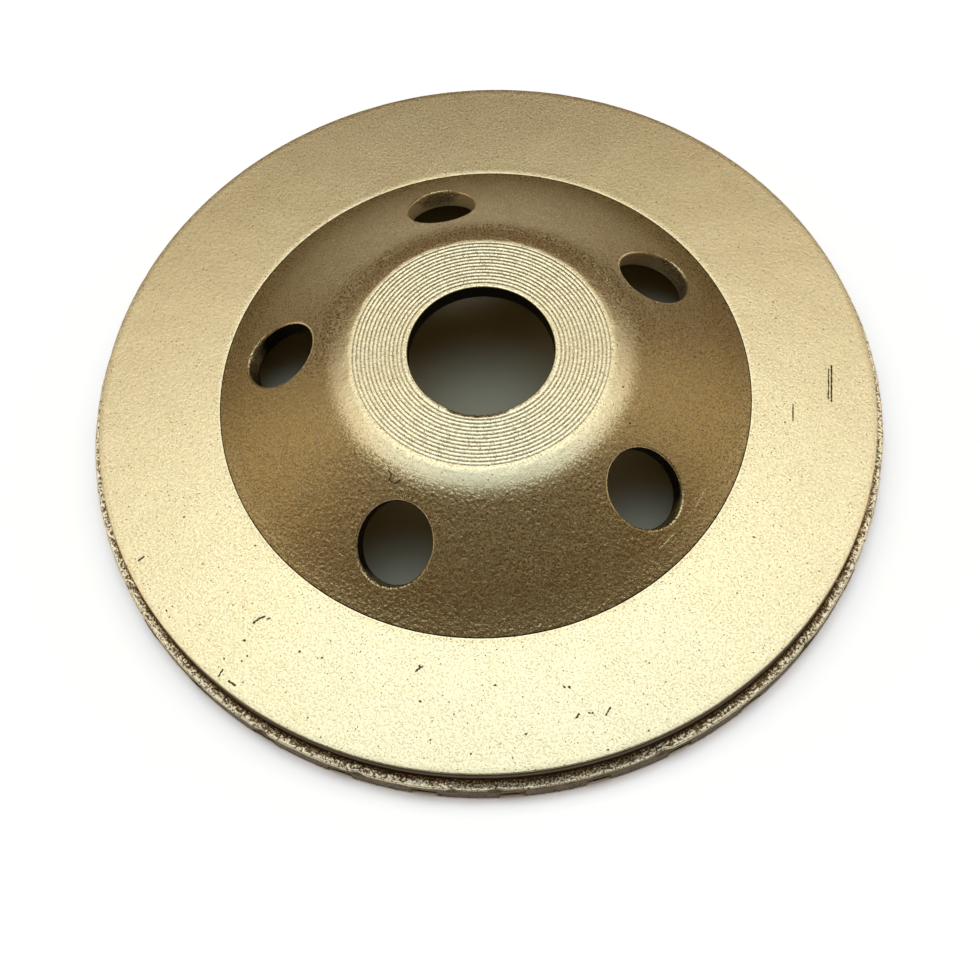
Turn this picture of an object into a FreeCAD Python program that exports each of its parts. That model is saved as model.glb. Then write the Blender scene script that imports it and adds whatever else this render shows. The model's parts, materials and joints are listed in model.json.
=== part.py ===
"""Diamond cup wheel of the 125 mm class, lying on its working face with the hub up.

A pressed steel cup with a turned hub face, a domed wall with vent holes and a flat flange
carries one sintered abrasive ring, which is brazed flat under the flange. Millimetres, +Z up;
the origin is at the centre of the wheel, on the plane of the working face.
"""

import FreeCAD, Part
import Sketcher
import math
import os

FULL_TURN = 360.0
START, END, CENTRE = 1, 2, 3
PATTERN_SLACK = 0.1  # share of one cut by which a repeated cut's volume may differ

# Driving sizes, in millimetres and degrees: name, value, what it is
SIZES = [
    ("bore_diameter", 22.23, "arbor bore through the hub"),
    ("hub_face_diameter", 40.0, "turned flat face round the bore"),
    ("hub_rise", 10.4, "hub face above the top of the flange"),
    ("crown_radius", 16.5, "convex round from the hub face into the wall"),
    ("crown_slope", 8.3, "slope of the crown where the facing cut runs out"),
    ("wall_slope", 28.5, "slope of the straight conical wall"),
    ("root_radius", 40.0, "concave round at the foot of the wall"),
    ("crease_slope", 21.0, "slope of the root where it meets the flange in a crisp crease"),
    ("flange_diameter", 122.4, "top edge of the flange"),
    ("flange_flare", 0.2, "how far the side wall leans out, on the radius"),
    ("sheet_thickness", 2.8, "steel sheet, the same all over"),
    ("edge_break", 0.3, "chamfer on the top edge of the flange"),
    ("vent_count", 5, "vent holes round the wall"),
    ("vent_margin", 4.54, "clear width between a vent and the crease, on the radius"),
    ("vent_width", 11.2, "vent across the slope, as it was punched"),
    ("vent_stretch", 1.4, "how much longer pressing the wall made it along the slope"),
    ("vent_break", 0.25, "chamfer round each vent's outer rim"),
    ("ring_width", 18.4, "abrasive ring across its working face"),
    ("ring_height", 4.2, "abrasive ring below the steel"),
    ("lip_overhang", 1.7, "how far the ring's lip stands out past the steel"),
    ("lip_drop", 0.35, "how far the ledge falls towards the lip"),
    ("ring_draft", 0.3, "how far the ring's wall leans out down to the working face"),
    ("slot_count", 32, "slots round the working face"),
    ("slot_width", 3.3, "across one slot"),
    ("slot_depth", 2.0, "slot depth from the working face"),
    ("slot_sweep", 25.0, "slot turned out of the radial direction"),
]

# Places that follow from the driving sizes, as formulas on the sheet
BORE = "Sizes.bore_diameter / 2"
HUB_EDGE = "Sizes.hub_face_diameter / 2"
FLANGE_EDGE = "Sizes.flange_diameter / 2"
STEEL_FOOT = f"{FLANGE_EDGE} + Sizes.flange_flare"
FLANGE_UNDERSIDE = "Sizes.ring_height"
FLANGE_TOP = f"{FLANGE_UNDERSIDE} + Sizes.sheet_thickness"
HUB_FACE = f"{FLANGE_TOP} + Sizes.hub_rise"
HUB_UNDERSIDE = f"{FLANGE_UNDERSIDE} + Sizes.hub_rise"
CROWN_START = "Sizes.crown_slope * 1 deg"
WALL = "Sizes.wall_slope * 1 deg"
CROWN_CENTRE = f"{HUB_EDGE} - Sizes.crown_radius * sin({CROWN_START})"
WALL_TOP = f"{CROWN_CENTRE} + Sizes.crown_radius * sin({WALL})"
WALL_TOP_HEIGHT = (
    f"{HUB_FACE} - Sizes.crown_radius * (cos({CROWN_START}) - cos({WALL}))"
)
CREASE_START = "Sizes.crease_slope * 1 deg"
ROOT_DROP = f"Sizes.root_radius * (cos({CREASE_START}) - cos({WALL}))"
WALL_FOOT = f"{WALL_TOP} + ({WALL_TOP_HEIGHT} - ({FLANGE_TOP}) - {ROOT_DROP}) / tan({WALL})"
CREASE = f"{WALL_FOOT} + Sizes.root_radius * (sin({WALL}) - sin({CREASE_START}))"
VENT_LENGTH = "Sizes.vent_width + Sizes.vent_stretch"
VENT_PLACE = f"{CREASE} - Sizes.vent_margin - ({VENT_LENGTH}) / 2 * cos({WALL})"
VENT_HEIGHT = f"{WALL_TOP_HEIGHT} - ({VENT_PLACE} - ({WALL_TOP})) * tan({WALL})"
RING_LIP = f"{STEEL_FOOT} + Sizes.lip_overhang"
RING_OUTER = f"{RING_LIP} + Sizes.ring_draft"
RING_INNER = f"{RING_OUTER} - Sizes.ring_width"


def write_sheet(doc):
    """The spreadsheet that every sketch and feature reads."""
    sheet = doc.addObject("Spreadsheet::Sheet", "Sizes")
    for row, (name, value, meaning) in enumerate(SIZES, start=1):
        sheet.set(f"A{row}", name)
        sheet.set(f"B{row}", str(value))
        sheet.set(f"C{row}", meaning)
        sheet.setAlias(f"B{row}", name)
    doc.recompute()
    return sheet


def worked_out(sheet, formula):
    """The present value of a formula, for first guesses and for finding edges."""
    result = sheet.evalExpression(formula)
    return float(getattr(result, "Value", result))


def origin_feature(body, role):
    """One of a body's own origin planes or axes."""
    return next(item for item in body.Origin.OriginFeatures if item.Role == role)


def new_sketch(body, name, plane):
    """A sketch flat on one of the body's origin planes."""
    sketch = body.newObject("Sketcher::SketchObject", name)
    sketch.AttachmentSupport = [(origin_feature(body, plane), "")]
    sketch.MapMode = "FlatFace"
    return sketch


def bind(sheet, sketch, kind, where, formula):
    """A dimension on a sketch that follows a formula of the sheet's sizes."""
    guess = worked_out(sheet, formula)
    if kind == "Angle":
        guess = math.radians(guess)
    index = sketch.addConstraint(Sketcher.Constraint(kind, *where, guess))
    sketch.setExpression(f"Constraints[{index}]", formula)


def bind_point(sheet, sketch, curve, end, across, up=None):
    """Ties a curve's end to a distance out from the axis and, where given, to a height."""
    bind(sheet, sketch, "DistanceX", (-1, START, curve, end), across)
    if up:
        bind(sheet, sketch, "DistanceY", (-1, START, curve, end), up)


def vector(across, up):
    """A point of a sketch."""
    return FreeCAD.Vector(across, up, 0.0)


def arc(centre, radius, first, last):
    """An arc that runs anticlockwise between two directions, in degrees."""
    circle = Part.Circle(centre, FreeCAD.Vector(0, 0, 1), radius)
    return Part.ArcOfCircle(circle, math.radians(first), math.radians(last))


def on_arc(centre, radius, direction):
    """The point of an arc in a direction, in degrees."""
    turn = math.radians(direction)
    return centre + radius * vector(math.cos(turn), math.sin(turn))


def polygon(sketch, points):
    """A closed run of straight lines, each joined to the next."""
    count = len(points)
    for first in range(count):
        second = (first + 1) % count
        sketch.addGeometry(Part.LineSegment(points[first], points[second]))
    for first in range(count):
        second = (first + 1) % count
        sketch.addConstraint(Sketcher.Constraint("Coincident", first, END, second, START))


def turn_profile(body, sketch, name):
    """Revolves a half section a full turn about the wheel's axis."""
    turned = body.newObject("PartDesign::Revolution", name)
    turned.Profile = sketch
    turned.ReferenceAxis = (sketch, ["V_Axis"])
    turned.Angle = FULL_TURN
    return turned


def repeat_round(body, feature, name, count):
    """Repeats a feature round the wheel's axis."""
    pattern = body.newObject("PartDesign::PolarPattern", name)
    pattern.Originals = [feature]
    pattern.Axis = (origin_feature(body, "Z_Axis"), [""])
    pattern.Angle = FULL_TURN
    pattern.setExpression("Occurrences", count)
    body.Tip = pattern
    return pattern


def check_cuts(doc, whole, cut, pattern):
    """A cut that misses the solid shows no error, so the volume it takes is compared."""
    doc.recompute()
    one = whole.Shape.Volume - cut.Shape.Volume
    every = whole.Shape.Volume - pattern.Shape.Volume
    if one <= 0 or abs(every / one - pattern.Occurrences) > PATTERN_SLACK:
        raise RuntimeError(f"{pattern.Label} doesn't cut as often as it should")


def edge_names(shape, wanted):
    """The names of the edges that a test picks out."""
    return [f"Edge{number}" for number, edge in enumerate(shape.Edges, start=1) if wanted(edge)]


def break_edges(doc, body, name, base, wanted, width):
    """A chamfer along the edges of the last feature that a test picks out."""
    chamfer = body.newObject("PartDesign::Chamfer", name)
    chamfer.Base = (base, edge_names(base.Shape, wanted))
    chamfer.setExpression("Size", width)
    body.Tip = chamfer
    doc.recompute()
    return chamfer


def cup_section(sheet, body):
    """Half section of the pressed cup: hub, crown, wall, root, flange, then back inside.

    The inner skin's arcs share the outer arcs' centres, so the sheet has one thickness.
    """

    def value(formula):
        return worked_out(sheet, formula)

    sketch = new_sketch(body, "CupSection", "XZ_Plane")
    thickness = value("Sizes.sheet_thickness")
    crown_radius = value("Sizes.crown_radius")
    root_radius = value("Sizes.root_radius")
    foot_slope = math.radians(value("Sizes.crease_slope"))
    steepest = 90.0 - value("Sizes.wall_slope")
    hub_top = value(HUB_FACE)
    flange_top = value(FLANGE_TOP)
    crease = value(CREASE)

    # First guesses for the two centres: the wall is tangent to both rounds
    crown = vector(
        value(CROWN_CENTRE), hub_top - crown_radius * math.cos(math.radians(value("Sizes.crown_slope")))
    )
    wall_top = on_arc(crown, crown_radius, steepest)
    root = vector(crease, flange_top) + root_radius * vector(math.sin(foot_slope), math.cos(foot_slope))

    hub_start = vector(value(BORE), hub_top)
    hub_edge = vector(value(HUB_EDGE), hub_top)
    wall_foot = on_arc(root, root_radius, 180.0 + steepest)
    crease_point = vector(crease, flange_top)
    flange_edge = vector(value(FLANGE_EDGE), flange_top)
    flange_foot = vector(value(STEEL_FOOT), value(FLANGE_UNDERSIDE))
    inner_root = root_radius + thickness
    inner_crown = crown_radius - thickness
    underside_turn = 270.0 - math.degrees(math.acos((root.y - flange_foot.y) / inner_root))
    hub_turn = math.degrees(math.asin((value(HUB_UNDERSIDE) - crown.y) / inner_crown))
    underside_start = on_arc(root, inner_root, underside_turn)
    inner_foot = on_arc(root, inner_root, 180.0 + steepest)
    inner_top = on_arc(crown, inner_crown, steepest)
    hub_inner = on_arc(crown, inner_crown, hub_turn)
    bore_foot = vector(hub_start.x, value(HUB_UNDERSIDE))

    curves = [
        Part.LineSegment(hub_start, hub_edge),
        arc(crown, crown_radius, steepest, 90.0 - value("Sizes.crown_slope")),
        Part.LineSegment(wall_top, wall_foot),
        arc(root, root_radius, 180.0 + steepest, 270.0 - math.degrees(foot_slope)),
        Part.LineSegment(crease_point, flange_edge),
        Part.LineSegment(flange_edge, flange_foot),
        Part.LineSegment(flange_foot, underside_start),
        arc(root, inner_root, 180.0 + steepest, underside_turn),
        Part.LineSegment(inner_foot, inner_top),
        arc(crown, inner_crown, steepest, hub_turn),
        Part.LineSegment(hub_inner, bore_foot),
        Part.LineSegment(bore_foot, hub_start),
    ]
    (face, crown_arc, wall, root_arc, top, side, underside,
     root_inside, wall_inside, crown_inside, hub_inside, bore) = range(len(curves))
    sketch.addGeometry(curves)

    corners = [
        (face, END, crown_arc, END),
        (root_arc, END, top, START),
        (top, END, side, START),
        (side, END, underside, START),
        (underside, END, root_inside, END),
        (crown_inside, END, hub_inside, START),
        (hub_inside, END, bore, START),
        (bore, END, face, START),
        (crown_arc, CENTRE, crown_inside, CENTRE),
        (root_arc, CENTRE, root_inside, CENTRE),
    ]
    smooth_joins = [
        (crown_arc, START, wall, START),
        (wall, END, root_arc, START),
        (root_inside, START, wall_inside, START),
        (wall_inside, END, crown_inside, START),
    ]
    for corner in corners:
        sketch.addConstraint(Sketcher.Constraint("Coincident", *corner))
    for join in smooth_joins:
        sketch.addConstraint(Sketcher.Constraint("Tangent", *join))
    for level in (face, top, underside, hub_inside):
        sketch.addConstraint(Sketcher.Constraint("Horizontal", level))
    sketch.addConstraint(Sketcher.Constraint("Vertical", bore))

    bind_point(sheet, sketch, face, START, BORE, HUB_FACE)
    bind_point(sheet, sketch, face, END, HUB_EDGE)
    bind_point(sheet, sketch, crown_arc, CENTRE, CROWN_CENTRE)
    bind(sheet, sketch, "Radius", (crown_arc,), "Sizes.crown_radius")
    bind(sheet, sketch, "Angle", (wall,), f"-{WALL}")
    bind(sheet, sketch, "Radius", (root_arc,), "Sizes.root_radius")
    bind_point(sheet, sketch, top, START, CREASE, FLANGE_TOP)
    bind_point(sheet, sketch, top, END, FLANGE_EDGE)
    bind_point(sheet, sketch, side, END, STEEL_FOOT, FLANGE_UNDERSIDE)
    bind(sheet, sketch, "Radius", (root_inside,), "Sizes.root_radius + Sizes.sheet_thickness")
    bind(sheet, sketch, "Radius", (crown_inside,), "Sizes.crown_radius - Sizes.sheet_thickness")
    bind(sheet, sketch, "DistanceY", (-1, START, bore, START), HUB_UNDERSIDE)
    return sketch


def vent_outline(sheet, body):
    """Oval vent, drawn square to the wall where its centre meets the outer skin."""
    sketch = new_sketch(body, "VentOutline", "XY_Plane")
    sketch.AttachmentOffset = FreeCAD.Placement(
        FreeCAD.Vector(), FreeCAD.Rotation(FreeCAD.Vector(0, 1, 0), worked_out(sheet, WALL))
    )
    sketch.setExpression("AttachmentOffset.Base.x", VENT_PLACE)
    sketch.setExpression("AttachmentOffset.Base.z", VENT_HEIGHT)
    sketch.setExpression("AttachmentOffset.Rotation.Angle", WALL)
    half_length = worked_out(sheet, VENT_LENGTH) / 2
    half_width = worked_out(sheet, "Sizes.vent_width") / 2
    oval = sketch.addGeometry(Part.Ellipse(FreeCAD.Vector(), half_length, half_width))
    sketch.exposeInternalGeometry(oval)
    long_axis, short_axis = oval + 1, oval + 2
    sketch.addConstraint(Sketcher.Constraint("Coincident", oval, CENTRE, -1, START))
    sketch.addConstraint(Sketcher.Constraint("Horizontal", long_axis))
    bind(sheet, sketch, "Distance", (long_axis,), VENT_LENGTH)
    bind(sheet, sketch, "Distance", (short_axis,), "Sizes.vent_width")
    return sketch


def steel_cup(doc, sheet):
    """The pressed and turned sheet steel cup."""
    body = doc.addObject("PartDesign::Body", "steel_cup")
    body.Label = "steel_cup"
    section = cup_section(sheet, body)
    cup = turn_profile(body, section, "PressedCup")
    doc.recompute()

    flange_radius = worked_out(sheet, FLANGE_EDGE)
    vent_place = worked_out(sheet, VENT_PLACE)
    vent_height = worked_out(sheet, VENT_HEIGHT)
    slope = math.radians(worked_out(sheet, "Sizes.wall_slope"))
    mid_sheet = worked_out(sheet, "Sizes.sheet_thickness / 2")

    def is_flange_edge(edge):
        curve = edge.Curve
        return isinstance(curve, Part.Circle) and math.isclose(curve.Radius, flange_radius)

    def is_outer_rim(edge):
        centre = edge.CenterOfMass
        out = math.hypot(centre.x, centre.y) - vent_place
        depth = out * math.sin(slope) + (centre.z - vent_height) * math.cos(slope)
        return not isinstance(edge.Curve, (Part.Circle, Part.Line)) and depth > -mid_sheet

    cup = break_edges(doc, body, "FlangeEdgeBreak", cup, is_flange_edge, "Sizes.edge_break")
    vent = body.newObject("PartDesign::Pocket", "Vent")
    vent.Profile = vent_outline(sheet, body)
    vent.SideType = "Symmetric"
    vent.setExpression("Length", "4 * Sizes.sheet_thickness")
    vents = repeat_round(body, vent, "Vents", "Sizes.vent_count")
    check_cuts(doc, cup, vent, vents)
    break_edges(doc, body, "VentRimBreak", vents, is_outer_rim, "Sizes.vent_break")
    return body


def ring_section(sheet, body):
    """Half section of the ring: working face, leaning wall, ledge past the steel, brazed face."""
    sketch = new_sketch(body, "RingSection", "XZ_Plane")
    corners = [
        (RING_INNER, None),
        (RING_OUTER, None),
        (RING_LIP, "Sizes.ring_height - Sizes.lip_drop"),
        (STEEL_FOOT, "Sizes.ring_height"),
        (RING_INNER, "Sizes.ring_height"),
    ]
    polygon(
        sketch,
        [vector(worked_out(sheet, x), worked_out(sheet, y) if y else 0.0) for x, y in corners],
    )
    for line, (across, up) in enumerate(corners):
        bind_point(sheet, sketch, line, START, across, up)
        if not up:
            sketch.addConstraint(Sketcher.Constraint("PointOnObject", line, START, -1))
    return sketch


def slot_outline(sheet, body):
    """One slot across the working face, turned about its mouth in the ring's outer wall."""
    sketch = new_sketch(body, "SlotOutline", "XY_Plane")
    sketch.AttachmentOffset = FreeCAD.Placement(
        FreeCAD.Vector(),
        FreeCAD.Rotation(FreeCAD.Vector(0, 0, 1), worked_out(sheet, "Sizes.slot_sweep")),
    )
    sketch.setExpression("AttachmentOffset.Base.x", RING_OUTER)
    sketch.setExpression("AttachmentOffset.Rotation.Angle", "Sizes.slot_sweep * 1 deg")
    outside = "Sizes.slot_width"
    inside = f"({RING_OUTER}) * cos(Sizes.slot_sweep * 1 deg)"
    half = "Sizes.slot_width / 2"
    out, back, side = (worked_out(sheet, formula) for formula in (outside, inside, half))
    polygon(sketch, [vector(-back, -side), vector(out, -side), vector(out, side), vector(-back, side)])
    near, mouth, far, tail = range(4)
    for line in (near, far):
        sketch.addConstraint(Sketcher.Constraint("Horizontal", line))
    for line in (mouth, tail):
        sketch.addConstraint(Sketcher.Constraint("Vertical", line))
    bind(sheet, sketch, "DistanceX", (-1, START, mouth, START), outside)
    bind(sheet, sketch, "DistanceX", (tail, START, -1, START), inside)
    bind(sheet, sketch, "DistanceY", (-1, START, far, START), half)
    bind(sheet, sketch, "DistanceY", (mouth, START, -1, START), half)
    return sketch


def abrasive_ring(doc, sheet):
    """The sintered ring with its slotted working face."""
    body = doc.addObject("PartDesign::Body", "abrasive_ring")
    body.Label = "abrasive_ring"
    ring = turn_profile(body, ring_section(sheet, body), "SinteredRing")
    doc.recompute()
    slot = body.newObject("PartDesign::Pocket", "Slot")
    slot.Profile = slot_outline(sheet, body)
    slot.Reversed = True
    slot.setExpression("Length", "Sizes.slot_depth")
    slots = repeat_round(body, slot, "Slots", "Sizes.slot_count")
    check_cuts(doc, ring, slot, slots)
    return body


def check_document(doc, bodies):
    """Stops where a feature failed or a piece is no single valid solid."""
    for item in doc.Objects:
        if {"Invalid", "Error"} & set(item.State):
            raise RuntimeError(f"{item.Name} failed: {item.State}")
    for body in bodies:
        shape = body.Shape
        if shape.isNull() or not shape.isValid() or len(shape.Solids) != 1:
            raise RuntimeError(f"{body.Label} isn't one valid solid")


def main():
    doc = FreeCAD.newDocument("DiamondCupWheel")
    sheet = write_sheet(doc)
    bodies = [steel_cup(doc, sheet), abrasive_ring(doc, sheet)]
    for body in bodies:
        body.Placement = FreeCAD.Placement()
    doc.recompute()
    check_document(doc, bodies)
    os.makedirs("parts", exist_ok=True)
    for body in bodies:
        body.Shape.exportStep(f"parts/{body.Label}.step")


main()
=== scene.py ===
"""Looks of a diamond cup wheel that lies on its working face, around its packed CAD model.

A pressed steel cup with a faced hub and punched vents is sprayed metallic gold. Under its flange
sits a sintered ring with swept slots, whose lip stands out past the steel, with grit in its skin.
"""

import json
from functools import reduce
from math import atan2, cos, hypot, inf, pi, radians, sin, sqrt, tan, tau

import bmesh
import bpy
import numpy as np
from mathutils import Matrix, Vector, noise
from mathutils.geometry import area_tri, delaunay_2d_cdt


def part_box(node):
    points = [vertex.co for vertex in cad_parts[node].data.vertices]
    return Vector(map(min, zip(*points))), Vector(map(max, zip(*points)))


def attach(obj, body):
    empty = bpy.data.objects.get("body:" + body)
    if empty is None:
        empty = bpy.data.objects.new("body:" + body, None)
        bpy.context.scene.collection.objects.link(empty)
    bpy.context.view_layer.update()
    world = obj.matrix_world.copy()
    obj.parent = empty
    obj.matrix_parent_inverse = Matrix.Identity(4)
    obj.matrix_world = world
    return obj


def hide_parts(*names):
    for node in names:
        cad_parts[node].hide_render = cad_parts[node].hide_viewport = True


bl_info = {
    "name": "Diamond cup wheel",
    "version": (1, 0, 0),
    "blender": (4, 5, 0),
    "location": "3D View > Sidebar > Cup wheel",
    "description": "Builds the gold sprayed steel cup, the sintered ring and its grit",
    "category": "Add Mesh",
}

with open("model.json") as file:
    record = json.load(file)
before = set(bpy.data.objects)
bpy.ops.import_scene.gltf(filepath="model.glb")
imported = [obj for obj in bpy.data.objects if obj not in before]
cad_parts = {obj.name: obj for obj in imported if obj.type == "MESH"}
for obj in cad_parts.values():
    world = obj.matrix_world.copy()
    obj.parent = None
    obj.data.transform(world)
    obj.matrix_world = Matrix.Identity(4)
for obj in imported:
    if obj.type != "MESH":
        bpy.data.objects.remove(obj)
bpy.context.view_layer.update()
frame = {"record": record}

MM = 0.001
CUP_LOW, CUP_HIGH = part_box("steel_cup")
RING_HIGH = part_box("abrasive_ring")[1]
BORE = next(mount for mount in frame["record"]["mounts"] if mount["name"] == "arbor_bore")["dims"]


def length(name, description, default):
    """A size of the wheel, in metres."""
    return bpy.props.FloatProperty(
        name=name, description=description, default=default, unit="LENGTH", precision=5
    )


def angle(name, description, default):
    """An angle of the wheel, given in degrees."""
    return bpy.props.FloatProperty(
        name=name, description=description, default=radians(default), unit="ROTATION"
    )


def count(name, description, default):
    """How many of something the wheel has."""
    return bpy.props.IntProperty(name=name, description=description, default=default, min=1)


def linear(code):
    """An sRGB hex colour as linear red, green and blue."""
    parts = [int(code[place:place + 2], 16) / 255 for place in (1, 3, 5)]
    return [v / 12.92 if v <= 0.04045 else ((v + 0.055) / 1.055) ** 2.4 for v in parts]


def colour(name, description, code):
    """A colour given as an sRGB hex value."""
    return bpy.props.FloatVectorProperty(
        name=name, description=description, default=linear(code), subtype="COLOR", size=3,
        min=0.0, max=1.0,
    )


class SteelCupSizes(bpy.types.PropertyGroup):
    """The pressed cup, its faced hub and its vents."""

    bore_radius: length("Bore radius", "Arbor bore", BORE["r_mm"] * MM)
    hub_radius: length("Hub radius", "Faced flat round the bore", 20.0 * MM)
    hub_height: length("Hub height", "Faced flat above the floor", CUP_HIGH.z)
    crown_radius: length("Crown radius", "Round from the hub into the wall", 16.5 * MM)
    crown_slope: angle("Crown slope", "Slope where the facing cut runs out", 8.3)
    wall_slope: angle("Wall slope", "Slope of the straight wall", 28.5)
    root_radius: length("Root radius", "Hollow round at the foot of the wall", 40.0 * MM)
    crease_slope: angle("Crease slope", "Slope where the root meets the flange", 21.0)
    sheet: length("Sheet", "Thickness of the steel", 2.8 * MM)
    flange_radius: length("Flange radius", "Top edge of the flange", 61.2 * MM)
    foot_radius: length("Foot radius", "Lower edge of the flange", CUP_HIGH.x)
    foot_height: length("Foot height", "Underside of the flange", CUP_LOW.z)
    edge_round: length("Edge round", "Worn top edge of the flange", 0.16 * MM)
    bore_round: length("Bore round", "Broken edges of the bore", 0.2 * MM)
    vent_count: count("Vents", "Vents round the wall", 5)
    vent_length: length("Vent length", "Vent along the slope", 12.6 * MM)
    vent_width: length("Vent width", "Vent across the slope", 11.2 * MM)
    vent_margin: length("Vent margin", "From the vent out to the crease", 4.54 * MM)
    vent_round: length("Vent round", "Drawn-in outer rim of a vent", 0.4 * MM)
    groove_count: count("Grooves", "Turned grooves on the hub", 14)
    groove_pitch: length("Groove pitch", "Feed of the facing cut", 0.615 * MM)
    groove_depth: length("Groove depth", "Depth of one turned groove", 0.045 * MM)


class AbrasiveRingSizes(bpy.types.PropertyGroup):
    """The sintered ring under the flange."""

    outer_radius: length("Outer radius", "Foot of the ring's wall", RING_HIGH.x)
    lip_radius: length("Lip radius", "Top of the ring's wall", RING_HIGH.x - 0.3 * MM)
    width: length("Width", "Across the working face", 18.4 * MM)
    height: length("Height", "From the floor to the brazed face", RING_HIGH.z)
    lip_drop: length("Lip drop", "Lip below the brazed face", 0.35 * MM)
    slot_count: count("Slots", "Slots in the working face", 32)
    slot_width: length("Slot width", "Across one slot", 3.3 * MM)
    slot_depth: length("Slot depth", "From the working face", 2.0 * MM)
    slot_sweep: angle("Slot sweep", "Slot turned out of the radial direction", 25.0)
    skin: length("Skin", "Room that the grit takes outside the bond", 0.1 * MM)
    body: colour("Bond", "Sintered metal bond", "#80704F")
    hollow: colour("Hollows", "Bond in its pores", "#4A4030")
    # The dark spray also carries the painted shade on the ledge in by the steel, and the overspray
    # the painted highlight towards the lip.
    dark_spray: colour("Dark spray", "Thin gold between its grains", "#6A5030")
    # This dark is painted shade in the crevice under the flange's edge.
    crevice_shade: colour("Crevice", "Grime under the flange's edge", "#33260F")
    overspray: colour("Overspray", "Gold that reached the ledge", "#F8E6C0")


class GritSizes(bpy.types.PropertyGroup):
    """The diamond grit that stands out of the ring's skin."""

    grain: length("Grain", "Mean radius of a grain", 0.16 * MM)
    density: bpy.props.FloatProperty(
        name="Density", description="Grains on a square metre", default=1.1e6
    )
    seed: count("Seed", "Start of the random scatter", 7)


class GoldPaint(bpy.types.PropertyGroup):
    """The sprayed metallic gold."""

    light: colour("Light gold", "Paint on open faces", "#E6D3A8")
    deep: colour("Deep gold", "Paint where it lies thicker", "#DEC99B")
    wall: colour("Wall gold", "Paint on the sloping wall, sprayed thinner", "#C6B284")
    # Faced gold also colours the painted highlights beside the crease and on the vents' rims.
    faced: colour("Faced gold", "Paint over the turned hub and rubbed edges", "#EADBB2")
    # The pit colour also serves as the painted shade in the crease and in the hub's grooves.
    pit_and_shade: colour("Pit", "Pinholes and scratches", "#35301E")
    thin: colour("Thin paint", "Dull paint on the flange's side and cut walls", "#2E261B")
    grain: length("Grain", "Size of the paint's grains", 0.55 * MM)
    flake: length("Flake", "Size of the metal flakes, drawn coarse enough to show", 0.28 * MM)


class StudioSettings(bpy.types.PropertyGroup):
    """The paper that the wheel lies on."""

    floor_size: length("Floor size", "Side of the floor", 4.0)
    floor: colour("Floor", "Pale paper", "#E6E6E6")


def steps(first, last, number):
    """Evenly spaced numbers from first to last, both included."""
    return [first + (last - first) * place / (number - 1) for place in range(number)]


def arc(centre, radius, first, last, number):
    """Points of a half section on an arc between two directions, in degrees."""
    turns = [radians(turn) for turn in steps(first, last, number)]
    return [(centre[0] + radius * cos(turn), centre[1] + radius * sin(turn)) for turn in turns]


def run(first, last, number):
    """Points of a half section on a straight line, its ends left out."""
    return [
        (first[0] + (last[0] - first[0]) * share, first[1] + (last[1] - first[1]) * share)
        for share in steps(0.0, 1.0, number + 2)[1:-1]
    ]


def polar(radius, turn, height):
    """A point of the wheel."""
    return Vector((radius * cos(turn), radius * sin(turn), height))


class Skin:
    """A mesh while it is put together from rows of points."""

    def __init__(self):
        self.points = []
        self.faces = []

    def row(self, places):
        """Adds a row of points and returns their numbers."""
        first = len(self.points)
        self.points.extend(places)
        return list(range(first, len(self.points)))

    def join(self, first, second, closed=False):
        """Fills the strip between two rows of equal length."""
        number = len(first)
        for here in range(number if closed else number - 1):
            there = (here + 1) % number
            self.faces.append((first[here], first[there], second[there], second[here]))

    def join_all(self, rows, closed=False):
        """Fills the strips between rows that follow each other."""
        for first, second in zip(rows, rows[1:]):
            self.join(first, second, closed)

    def object(self, name):
        """The finished mesh as an object."""
        mesh = bpy.data.meshes.new(name)
        mesh.from_pydata(self.points, [], self.faces)
        piece = bpy.data.objects.new(name, mesh)
        bpy.context.scene.collection.objects.link(piece)
        return piece


def read_points(piece):
    """The points of a mesh, and their distances and directions in degrees from the axis."""
    flat = np.empty(len(piece.data.vertices) * 3, np.float32)
    piece.data.vertices.foreach_get("co", flat)
    points = flat.reshape(-1, 3).astype(float)
    turn = np.degrees(np.arctan2(points[:, 1], points[:, 0]))
    return points, np.hypot(points[:, 0], points[:, 1]), turn


def write_points(piece, points):
    """Puts the points of a mesh where an array says."""
    piece.data.vertices.foreach_set("co", points.astype(np.float32).ravel())
    piece.data.update()


def push_in(points, picked, amount, radius):
    """Moves the picked points towards the axis, each by its own amount."""
    points[picked, :2] *= (1 - amount / radius[picked])[:, None]


def face_outwards(piece):
    """Turns every face of a closed mesh outwards."""
    mesh = bmesh.new()
    mesh.from_mesh(piece.data)
    bmesh.ops.recalc_face_normals(mesh, faces=mesh.faces)
    mesh.to_mesh(piece.data)
    mesh.free()


def rough(points, size, seed, depth=2):
    """Smooth noise between about -1 and 1 with features of a given size."""
    shift = Vector((seed * 7.3, seed * 3.1, seed * 5.7))
    return np.array(
        [noise.fractal(Vector(p) / size + shift, 1.0, 2.0, depth) for p in points]
    )


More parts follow.
